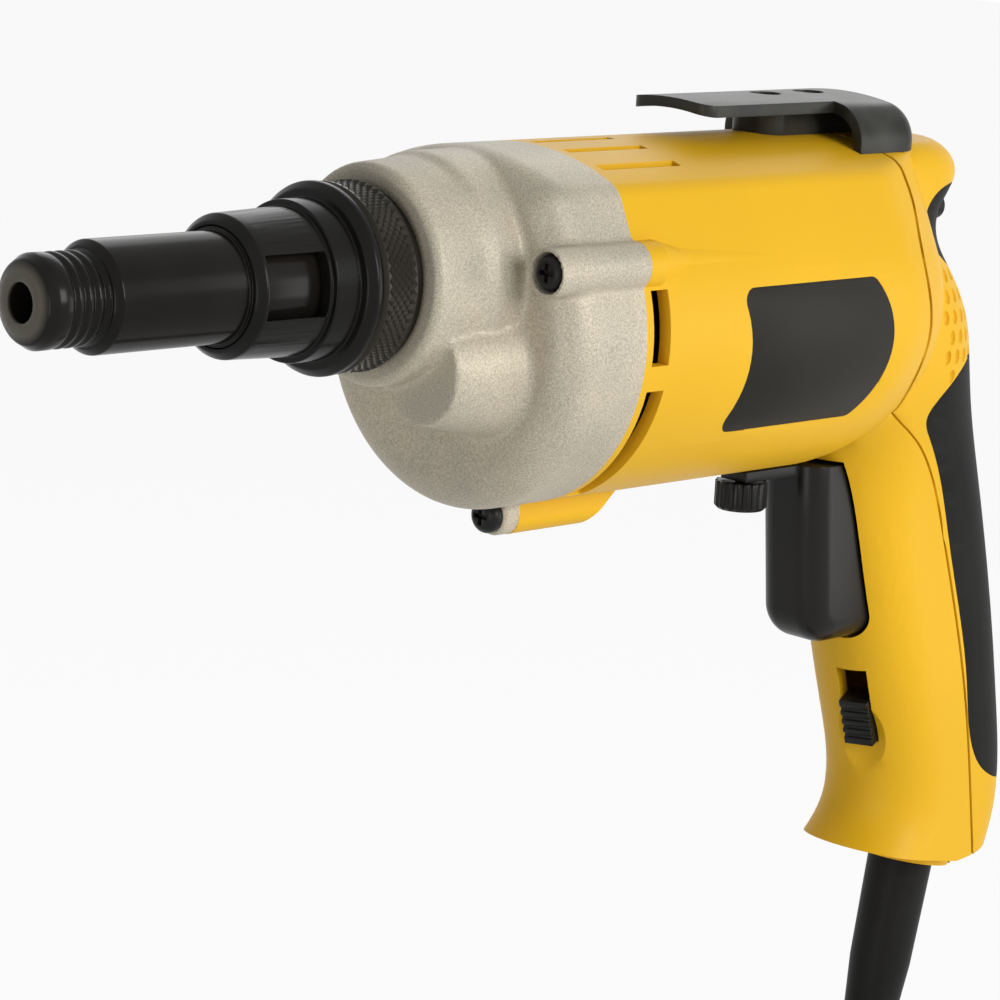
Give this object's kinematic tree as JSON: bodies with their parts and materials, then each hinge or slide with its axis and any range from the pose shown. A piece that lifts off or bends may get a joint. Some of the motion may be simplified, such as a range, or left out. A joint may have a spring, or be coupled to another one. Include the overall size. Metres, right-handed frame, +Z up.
{
  "type": "electric screwdriver",
  "caption": "Corded pistol-grip electric screwdriver with depth-setting nose, cast gear case, motor housing, rubber-backed handle, trigger, belt hook and tied cord.",
  "frame": {"origin": "middle of the hand grip, on the tool's centre plane", "axes": "+X forward along the spindle towards the nose, +Y to the tool's left, +Z up"},
  "size_m": [0.3096, 0.0792, 0.4211],
  "materials": {
    "nose_steel": "black oxide steel, glossy",
    "collar_black": "black, satin",
    "ring_gunmetal": "gunmetal, knurled",
    "steel": "ground steel",
    "bronze": "sintered bronze",
    "cast_aluminium": "sandy die casting",
    "screw_black": "black screws",
    "lamination": "varnished laminations",
    "copper": "copper wire and bars",
    "fan_plastic": "black moulding",
    "brass": "pressed brass",
    "carbon": "carbon",
    "housing_yellow": "yellow moulding, satin",
    "grip_black": "soft black rubber",
    "label_grey": "bare dark grey plate",
    "control_black": "black moulding, satin",
    "hook_black": "black painted steel",
    "cord_black": "black rubber"
  },
  "bodies": {
    "body": {"gear_case": "cast_aluminium", "spindle_front_bush": "bronze", "layshaft_front_bush": "bronze", "layshaft_rear_bush": "bronze", "spindle_rear_bush": "bronze", "case_screws": "screw_black", "bearing_plate": "cast_aluminium", "front_bearing": "steel", "rear_bearing": "steel", "fan_baffle": "fan_plastic", "field_core": "lamination", "field_coils": "copper", "brush_holder_left": "brass", "brush_holder_right": "brass", "brush_left": "carbon", "brush_right": "carbon", "motor_housing": "housing_yellow", "handle_cover": "housing_yellow", "grip_rubber": "grip_black", "web_rubber": "grip_black", "label_plate_left": "label_grey", "label_plate_right": "label_grey", "cover_screws": "steel", "switch_body": "control_black", "belt_hook": "hook_black", "hook_screws": "screw_black", "cord_clamp": "control_black", "clamp_screws": "steel", "cord_protector": "cord_black", "cord_inner_end": "cord_black", "cord_stretch": "cord_black", "cord_coil": "cord_black", "cord_tie": "cord_black", "plug_body": "cord_black", "plug_blades": "brass"},
    "nose": {"nosepiece": "nose_steel"},
    "collar": {"adjusting_collar": "collar_black"},
    "lock": {"lock_ring": "ring_gunmetal"},
    "armature": {"armature_shaft": "steel", "armature_core": "lamination", "armature_winding": "copper", "commutator": "copper", "cooling_fan": "fan_plastic"},
    "intermediate": {"layshaft": "steel", "intermediate_gear": "steel"},
    "drive": {"drive_gear": "steel", "clutch_spring": "steel"},
    "spindle_group": {"spindle": "steel", "bit_holder": "steel", "bit_ring": "steel"},
    "trigger_group": {"trigger": "control_black"},
    "knob": {"speed_knob": "control_black"},
    "slider": {"reverse_slider": "control_black"}
  },
  "joints": [
    {"name": "armature_spin", "type": "hinge", "parent": "body", "child": "armature", "pos_m": [0.098, 0, 0.082], "axis": [1, 0, 0], "continuous": true},
    {"name": "intermediate_spin", "type": "hinge", "parent": "body", "child": "intermediate", "pos_m": [0.158, 0.01315, 0.07613], "axis": [1, 0, 0], "continuous": true},
    {"name": "drive_gear_spin", "type": "hinge", "parent": "body", "child": "drive", "pos_m": [0.158, 0, 0.095], "axis": [1, 0, 0], "continuous": true},
    {"name": "spindle_press", "type": "slide", "parent": "drive", "child": "spindle_group", "axis": [-1, 0, 0], "range_m": [0, 0.003], "stiffness_N_per_m": 1500},
    {"name": "collar_turn", "type": "hinge", "parent": "body", "child": "collar", "pos_m": [0.218, 0, 0.095], "axis": [1, 0, 0], "range_deg": [0, 360]},
    {"name": "nose_slide", "type": "slide", "parent": "body", "child": "nose", "axis": [1, 0, 0], "range_m": [0, 0.005]},
    {"name": "lock_ring_turn", "type": "hinge", "parent": "body", "child": "lock", "pos_m": [0.192, 0, 0.095], "axis": [1, 0, 0], "range_deg": [0, 45]},
    {"name": "trigger_pull", "type": "slide", "parent": "body", "child": "trigger_group", "axis": [-1, 0, 0], "range_m": [0, 0.007], "stiffness_N_per_m": 800},
    {"name": "speed_knob_turn", "type": "hinge", "parent": "trigger_group", "child": "knob", "pos_m": [0.0657, 0, 0.036], "axis": [0, 0, 1], "range_deg": [0, 330]},
    {"name": "reverse_slide", "type": "slide", "parent": "body", "child": "slider", "axis": [0.309, 0, 0.9511], "range_m": [0, 0.008]}
  ],
  "couplings": [
    {"joint": "intermediate_spin", "follows": "armature_spin", "ratio": -0.33333},
    {"joint": "drive_gear_spin", "follows": "armature_spin", "ratio": 0.10526},
    {"joint": "collar_turn", "follows": "nose_slide", "rad_per_m": 1256.6}
  ]
}
